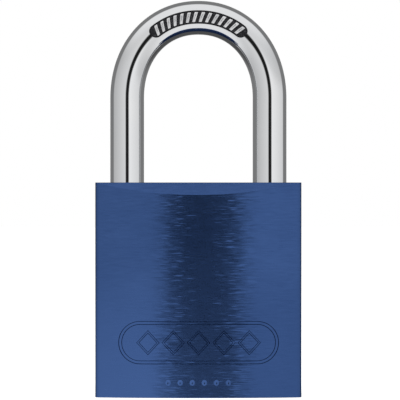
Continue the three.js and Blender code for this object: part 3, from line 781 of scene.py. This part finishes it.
def crown_line(along):
    """Place and direction on the centre line at a distance along it from the middle of the crown."""
    centre = arch(np.linspace(0, math.pi, 2001))
    length = np.concatenate([[0], np.cumsum(np.linalg.norm(np.diff(centre, axis=0), axis=1))])
    length, step = length - length[-1] / 2, 0.2

    def at(distance):
        """Place at a distance."""
        return np.stack([np.interp(distance, length, centre[:, i]) for i in (0, 1)], -1)

    ahead = at(along + step) - at(along - step)
    return at(along), ahead / np.linalg.norm(ahead, axis=-1, keepdims=True)


def crown_patch(along, across, radius):
    """Points over the front of the crown: along the centre line, and across it round the rod."""
    place, direction = crown_line(along)
    return tube(place, direction, -math.pi / 2 + across / ROD, radius)


def cartouche_tool():
    """A cutter for a curved stadium on the crown's front: two sheets with the stadium's outline, one sunk
    in the rod and one outside it, joined round their edges. Its slanted wall widens towards the outside."""
    straight = np.linspace(-CARTOUCHE_HALF, CARTOUCHE_HALF, 61)
    left = -CARTOUCHE_HALF + CARTOUCHE_WIDTH * np.sin(np.linspace(-math.pi / 2, 0, 13))
    right = CARTOUCHE_HALF + CARTOUCHE_WIDTH * np.sin(np.linspace(0, math.pi / 2, 13))
    along = np.concatenate([left, straight[1:-1], right])
    past = np.maximum(np.abs(along) - CARTOUCHE_HALF, 0)
    half = np.sqrt(np.maximum(CARTOUCHE_WIDTH**2 - past**2, 0))
    share = np.linspace(-1, 1, 9)
    columns = np.concatenate([share, share[::-1]])
    radius = np.concatenate([np.full(9, ROD - CARTOUCHE_DEPTH), np.full(9, ROD + 1.0)])
    across = half[:, None] * columns[None]
    return surface(crown_patch(along[:, None] + 0 * across, across, radius + 0 * across), wrap_columns=True)


def crown_marks():
    """Raised leaning bars on the recess's floor, each a small block that follows the rod: its section, as
    (along, up), is swept across the recess and bends down a little at its ends."""
    marks = []
    across = np.linspace(-1, 1, 9)
    section = [(-0.36, -0.1), (-0.3, 0.12), (-0.14, 0.19), (0.14, 0.19), (0.3, 0.12), (0.36, -0.1)]
    for along in np.linspace(-BAR_ROW, BAR_ROW, BAR_COUNT):
        rows = []
        for side, out in section:
            place = along + across * BAR_LEAN + side
            radius = ROD - CARTOUCHE_DEPTH + out - (0.05 * np.abs(across) ** 6 if out > 0 else 0)
            rows.append(crown_patch(place, across, radius + 0 * across))
        marks.append(surface(np.stack(rows, 1), wrap_columns=True, capped=True))
    return joined(*marks)


def make_shackle():
    """The rod with a ball's notch in each leg and a painted recess on its crown, which holds the bars."""
    rod = put("shackle_rod", shackle_rod(), chrome)
    ball = lathe(arc((0, 0), NOTCH, -90, 90, 31), 60)
    carve(rod, "DIFFERENCE", [chrome], *[placed(ball, offset=(x, 0, BALL_Z)) for x in (-BALL_OUT, BALL_OUT)])
    carve(rod, "DIFFERENCE", [paint], cartouche_tool())
    carve(rod, "UNION", [stamped], crown_marks())
    settle(rod, "shackle", sharp=30)


# ------------------------ what holds and springs the shackle

def dowel():
    """A ground dowel along X with a chamfer at one end and a dome at the other."""
    length, rise, chamfer = dowel_high[0] - dowel_low[0], 0.35, 0.2
    dome = [(DOWEL * math.sin(a), rise * (1 - math.cos(a))) for a in np.linspace(0, math.pi / 2, 7)]
    profile = dome + [(DOWEL, length - chamfer), (DOWEL - chamfer, length), (0, length)]
    return placed(lathe(profile, 40), ALONG_X, (dowel_low[0], 0, DOWEL_Z))


def cam_outline():
    """The cam's reach in each direction: its own radius, or the near side of the ball at any of its places,
    distance * cos(angle) - sqrt(ball^2 - (distance * sin(angle))^2), while the cam turns a quarter."""
    corners = 216
    angle = TURN * np.arange(corners) / corners
    folded = (angle + math.pi / 2) % math.pi - math.pi / 2
    turn = np.radians(np.linspace(0, 90, 61))[:, None]
    distance = BALL_OUT - BALL_TRAVEL * turn / (math.pi / 2)
    reach = np.full(corners, CAM)
    for direction in (folded, folded - math.pi, folded + math.pi):
        apart = direction[None] + turn
        aside = distance * np.sin(apart)
        near = distance * np.cos(apart) - np.sqrt(np.maximum(BALL**2 - aside**2, 0))
        near = np.where((np.cos(apart) > 0) & (np.abs(aside) < BALL), near, CAM)
        reach = np.minimum(reach, near.min(0))
    return (reach - SLIP)[:, None] * np.stack([np.cos(angle), np.sin(angle)], -1)


def make_shackle_hold():
    """The dowel, the lifting spring, the two balls, and the cam with the slot that the plug's tang fills."""
    settle(put("retaining_dowel", dowel(), ground), "shackle_retaining_pin")
    coil = helix(radius=2.9, wire=0.6, height=3.8, turns=4, per_turn=36, sides=14)
    spring = placed(coil, offset=(-LEG_X, 0, HEEL_FLOOR + SLIP))
    settle(put("shackle_coil", spring, drawn), "shackle_spring", sharp=50)
    for name, side in (("toe_locking_ball", 1), ("heel_locking_ball", -1)):
        ball = lathe(arc((0, 0), BALL, -90, 90, 33), 64, (side * (BALL_OUT - BALL_TRAVEL), 0, BALL_Z))
        settle(put(name + "_ground", ball, ground), name)
    low, high, ease = cam_low[2], cam_high[2], 0.22
    levels = [(ease, low), (0, low + ease), (0, high - ease), (ease, high)]
    cam = put("cam_block", placed(prism(cam_outline(), levels), QUARTER_TURN), ground)
    slot = rectangle((-TANG_LONG - ROOM, -TANG_HALF - ROOM), (TANG_LONG + ROOM, TANG_HALF + ROOM))
    slot_levels = [(-0.2, low - 1), (-0.2, low), (0, low + 0.2), (0, plug_high[2] + ROOM)]
    carve(cam, "DIFFERENCE", [ground], placed(prism(slot, slot_levels), QUARTER_TURN))
    settle(cam, "locking_cam")


# ------------------------ cylinder

def pin_height(number):
    """Height of a pin's axis."""
    low, high = span(f"driver_pin_{number}")
    return (low[2] + high[2]) / 2


def chambers(inner, outer):
    """The six pin chambers as bars along X."""
    chamber = lathe(bar(CHAMBER, inner, outer), 40)
    return joined(*[placed(chamber, ALONG_X, (0, 0, pin_height(number))) for number in PIN_NUMBERS])


def make_housing():
    """The barrel and its lobe, less the plug's room, its neck's, the spring cover's, the pin chambers and
    the screw's thread, and the cover strip itself."""
    face, top, radius = housing_low[2], housing_high[2], -housing_low[0]
    barrel = [(0, face), (radius - 0.25, face), (radius, face + 0.25)]
    barrel += [(radius, top - 0.3), (radius - 0.3, top), (0, top)]
    housing = put("cylinder_barrel", lathe(barrel, 128), brass_housing)
    lobe = rounded_box((0, -LOBE_HALF), (LOBE_END, LOBE_HALF), 0.4)
    lobe_levels = [(0.2, face), (0, face + 0.2), (0, LOBE_TOP - 0.3), (0.3, LOBE_TOP)]
    carve(housing, "UNION", [brass_housing], prism(lobe, lobe_levels))
    ease, shoulder = 0.18, PLUG_SHOULDER + SLIP
    plug_room = [(0, face - 1), (PLUG_BORE + ease, face - 1), (PLUG_BORE + ease, face)]
    plug_room += [(PLUG_BORE, face + ease), (PLUG_BORE, shoulder), (0, shoulder)]
    inner, outer = cover_low[0], cover_high[0]
    cover_plan = rectangle((inner - SLIP, -2.2), (LOBE_END + 1, 2.2))
    thread, mouth, past = 1.55, 1.9, LOBE_TOP + 1
    screw_hole = [(0, screw_low[2] - SLIP), (thread, screw_low[2] - SLIP), (thread, LOBE_TOP - 0.2)]
    screw_hole += [(mouth, LOBE_TOP + 0.15), (mouth, past), (0, past)]
    tools = [
        lathe(plug_room, 96),
        lathe(bar(PLUG_NECK + SLIP, 20, top + 1), 72),
        prism(cover_plan, [(0, cover_low[2] - SLIP), (0, cover_high[2] + SLIP)]),
        chambers(2, inner),
        lathe(screw_hole, 40, (SCREW_X, 0, 0)),
    ]
    carve(housing, "DIFFERENCE", [brass_housing], *tools)
    settle(housing, "cylinder_housing")
    plate = rounded_box((cover_low[1], cover_low[2]), (cover_high[1], cover_high[2]), 0.5)
    plate_levels = [(0.1, inner), (0, inner + 0.1), (0, outer - 0.1), (0.1, outer)]
    strip = placed(prism(plate, plate_levels), PLATE_ALONG_X)
    settle(put("cover_strip", strip, brass_housing), "spring_cover")


def keyway():
    """The keyway's outline: a slot with two wards that shift it sideways."""
    half, shift = 0.85, 0.25
    blind, low_ward, high_ward, end = -4.4, -2.2, 0.85, 3.4
    under = [(blind, -half - shift), (low_ward, -half - shift), (low_ward, -half + shift)]
    under += [(high_ward, -half + shift), (high_ward, -half - shift), (end, -half - shift)]
    over = [(end, half - shift), (high_ward + shift, half - shift), (high_ward + shift, half + shift)]
    over += [(low_ward + shift, half + shift), (low_ward + shift, half - shift), (blind, half - shift)]
    return np.array(under + over)


def make_plug():
    """The plug with its neck, the clip's groove and its tang, less the keyway and the pin chambers. It is
    made with the keyway along X and then turned a quarter."""
    face, top = plug_low[2], plug_high[2]
    groove_low, groove_high, groove = clip_low[2] - 0.05, clip_high[2] + 0.05, PLUG_NECK - 0.8
    profile = [(0, face), (PLUG - 0.22, face), (PLUG, face + 0.22), (PLUG, PLUG_SHOULDER - 0.2)]
    profile += [(PLUG - 0.2, PLUG_SHOULDER), (PLUG_NECK, PLUG_SHOULDER), (PLUG_NECK, groove_low)]
    profile += [(groove, groove_low), (groove, groove_high), (PLUG_NECK, groove_high)]
    profile += [(PLUG_NECK, NECK_END - 0.15), (PLUG_NECK - 0.15, NECK_END), (0, NECK_END)]
    plug = put("cylinder_core", lathe(profile, 128), brass_plug)
    tang = rounded_box((-TANG_LONG, -TANG_HALF), (TANG_LONG, TANG_HALF), 0.3)
    tang_levels = [(0, groove_high + 0.1), (0, top - 0.25), (0.25, top)]
    carve(plug, "UNION", [brass_plug], prism(tang, tang_levels))
    keyway_end = pin_height(6) + CHAMBER + 0.1
    keyway_levels = [(-0.16, face - 1), (-0.16, face), (0, face + 0.3), (0, keyway_end)]
    carve(plug, "DIFFERENCE", [brass_plug], prism(keyway(), keyway_levels), chambers(-0.6, PLUG + 1))
    points = plug.data.vertices
    points.foreach_set("co", (read(points, "co") @ np.array(QUARTER_TURN, np.float32).T).ravel())
    settle(plug, "cylinder_plug")


def make_clip():
    """A stamped C: outer arc one way and inner arc back, with lightly rolled edges."""
    gap, outer, inner = 40, 5.3, 3.2
    ring = [arc((0, 0), outer, gap, 360 - gap, 73), arc((0, 0), inner, 360 - gap - 3, gap + 3, 61)]
    low, high = clip_low[2], clip_high[2]
    levels = [(0.09, low), (0, low + 0.09), (0, high - 0.04), (0.04, high)]
    clip = placed(prism(np.concatenate(ring), levels), QUARTER_TURN)
    settle(put("plug_c_clip", clip, drawn), "plug_retaining_clip")


def make_screw():
    """A slotted cheese head on a threaded shank. The shank's radius at height z and angle a is its own less
    half the thread's depth times 1 + cos(z / pitch - a), and it tapers in the last pitch."""
    low, high, head = TOE_FLOOR + SLIP, screw_high[2], SCREW_HEAD
    profile = [(0, low), (head - 0.15, low), (head, low + 0.15), (head, high - 0.35)]
    profile += [(head - 0.12, high - 0.12), (head - 0.4, high), (0, high)]
    screw = put("slotted_screw", lathe(profile, 64, (SCREW_X, 0, 0)), oxide)
    pitch, depth, sides = 0.5, 0.27, 48
    z = np.linspace(screw_low[2], low + 0.3, 110)[:, None]
    a = np.arange(sides)[None] / sides
    taper = np.minimum(1, 0.72 + 0.28 * (z - screw_low[2]) / pitch)
    radius = SCREW_SHANK * taper - depth / 2 * (1 + np.cos(TURN * (z / pitch - a)))
    shank = np.stack([SCREW_X + radius * np.cos(TURN * a), radius * np.sin(TURN * a), z + 0 * a], -1)
    carve(screw, "UNION", [oxide], surface(shank, wrap_columns=True, capped=True))
    slot_half, slot_depth = 0.4, 0.7
    slot = rectangle((SCREW_X - 3, -slot_half), (SCREW_X + 3, slot_half))
    carve(screw, "DIFFERENCE", [oxide], prism(slot, [(0, high - slot_depth), (0, high + 1)]))
    settle(screw, "cylinder_retaining_screw")


# ------------------------ pins and their springs

def key_pin(length):
    """A pin on its pointed tip: a rounded nose, a cone, a straight side and a softened end."""
    cone = [(0, 0), (0.22, 0.0), (0.38, 0.07), (1.17, 0.74), (PIN - 0.01, 0.84), (PIN, 0.95)]
    return cone + [(PIN, length - 0.28), (PIN - 0.06, length - 0.1), (PIN - 0.2, length), (0, length)]


def driver_pin(length, spool):
    """A plain driver, or a spool whose waist blends into its rims."""
    third, waist = length / 3, 0.35
    rim, end = [(0, 0), (PIN - 0.1, 0), (PIN, 0.1)], [(PIN, length - 0.1), (PIN - 0.1, length), (0, length)]
    if not spool:
        return rim + end
    slope = np.linspace(0, math.pi, 9)
    down = [(PIN - waist * (1 - math.cos(a)) / 2, third - waist + waist * a / math.pi) for a in slope]
    up = [(radius, length - height) for radius, height in reversed(down)]
    return rim + down + up + end


def make_pins():
    """Six key pins, drivers and springs, each spring with a mesh of its own."""
    coil = helix(radius=1.09, wire=0.32, height=PIN_SPRING_LENGTH, turns=5, per_turn=26, sides=9)
    for number in PIN_NUMBERS:
        z = pin_height(number)
        low, high = span(f"key_pin_{number}")
        pin = placed(lathe(key_pin(high[1] - low[1]), 40), ALONG_Y, (0, low[1], z))
        settle(put(f"key_pin_{number}_turned", pin, brass_pin), f"key_pin_{number}", sharp=40)
        low, high = span(f"driver_pin_{number}")
        driver = placed(lathe(driver_pin(high[0] - low[0], number in SPOOLS), 40), ALONG_X, (low[0], 0, z))
        settle(put(f"driver_pin_{number}_turned", driver, nickel), f"driver_pin_{number}", sharp=40)
        near_end = high[0] + SLIP
        wire = placed(coil, ALONG_X, (near_end, 0, z))
        spring = settle(put(f"pin_coil_{number}", wire, drawn), f"pin_spring_{number}", sharp=50)
        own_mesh(spring)


make_body()
make_shackle()
make_shackle_hold()
make_housing()
make_plug()
make_clip()
make_screw()
make_pins()


# ------------------------ camera, light and floor

def make_camera():
    """A long lens straight in front, a little to the right of the middle and about halfway up."""
    lens = bpy.data.cameras.new("camera")
    lens.lens = 298.6
    lens.sensor_width = 36
    lens.clip_start = 0.01
    lens.clip_end = 20
    camera = bpy.data.objects.new("camera", lens)
    camera.location = (0.00032, -0.650, 0.03824)
    camera.rotation_euler = (math.pi / 2, 0, 0)
    bpy.context.scene.collection.objects.link(camera)
    bpy.context.scene.camera = camera


def make_studio():
    """A white room: bright in front and overhead, a little less bright on the left, grey behind, and a
    narrow dark gap between the two front screens. What the camera sees directly of it is white."""
    world = bpy.data.worlds.new("studio")
    world.use_nodes = True
    bpy.context.scene.world = world
    tree = world.node_tree
    direction = add(tree, "TexCoord").outputs["Generated"]
    x, y, z = add(tree, "SeparateXYZ", {"Vector": direction}).outputs
    front = times(y, -1.0)
    azimuth = maths("ARCTAN2", x, front)
    turned, tipped = maths("ABSOLUTE", azimuth), maths("ABSOLUTE", z)

    left = span_map(turned, 0.2, 1.75, 0.74, 0.50, smooth=False)
    right = span_map(turned, 0.2, 1.75, 0.93, 0.70, smooth=False)
    right = times(right, span_map(tipped, 0.07, 0.25, 1.0, 0.82))
    screens = span_map(x, -0.1, 0.1, left, right)
    overhead, behind = 0.85, span_map(z, -0.5, -0.1, 0.08, 0.21)
    lit = between(span_map(tipped, 0.35, 0.8), screens, overhead)
    room = between(span_map(front, -0.32, -0.16), behind, lit)

    gap_azimuth, gap_darkness = 0.026, 0.985
    off_gap = maths("ABSOLUTE", maths("SUBTRACT", azimuth, gap_azimuth))
    gap = times(span_map(off_gap, 0.12, 0.25, 1.0, 0.0), span_map(z, -0.26, -0.04))
    gap = times(gap, span_map(z, 0.45, 0.65, 1.0, 0.0))
    level = times(room, maths("SUBTRACT", 1.0, times(gap, gap_darkness)))

    seen = add(tree, "LightPath").outputs["Is Camera Ray"]
    feed(tree.nodes["Background"], {"Color": (1, 1, 1, 1), "Strength": between(seen, level, 1.0)})


def make_floor():
    """A plain pale floor just under the body, which is clear from below, so that the underside shows."""
    bpy.ops.mesh.primitive_plane_add(size=8, location=(0, 0, -0.00005))
    floor = bpy.context.object
    floor.name = "floor"
    material, shader, _ = metal("pale_floor", (0.86, 0.86, 0.86), 0.9)
    glow = {"Emission Color": (1, 1, 1, 1), "Emission Strength": 0.58}
    feed(shader, {"Metallic": 0.0, "Specular IOR Level": 0.1, **glow})
    below = add(shader, "NewGeometry").outputs["Backfacing"]
    clear = add(shader, "BsdfTransparent").outputs[0]
    either = add(shader, "MixShader", {0: below, 1: shader.outputs[0], 2: clear}).outputs[0]
    feed(shader.id_data.nodes["Material Output"], {"Surface": either})
    floor.data.materials.append(material)
    floor.visible_glossy = False


def make_lamp():
    """A large soft light above and a little in front, which gives the floor its soft shadow."""
    light = bpy.data.lights.new("overhead", "AREA")
    light.shape = "SQUARE"
    light.size = 1.0
    light.energy = 9.0
    lamp = bpy.data.objects.new("overhead", light)
    forward, height = 0.35, 1.1
    lamp.location = (0, -forward, height)
    lamp.rotation_euler = (-math.atan2(forward, height), 0, 0)
    lamp.visible_glossy = False
    bpy.context.scene.collection.objects.link(lamp)


make_camera()
make_studio()
make_floor()
make_lamp()
bpy.context.scene.view_settings.view_transform = "Standard"
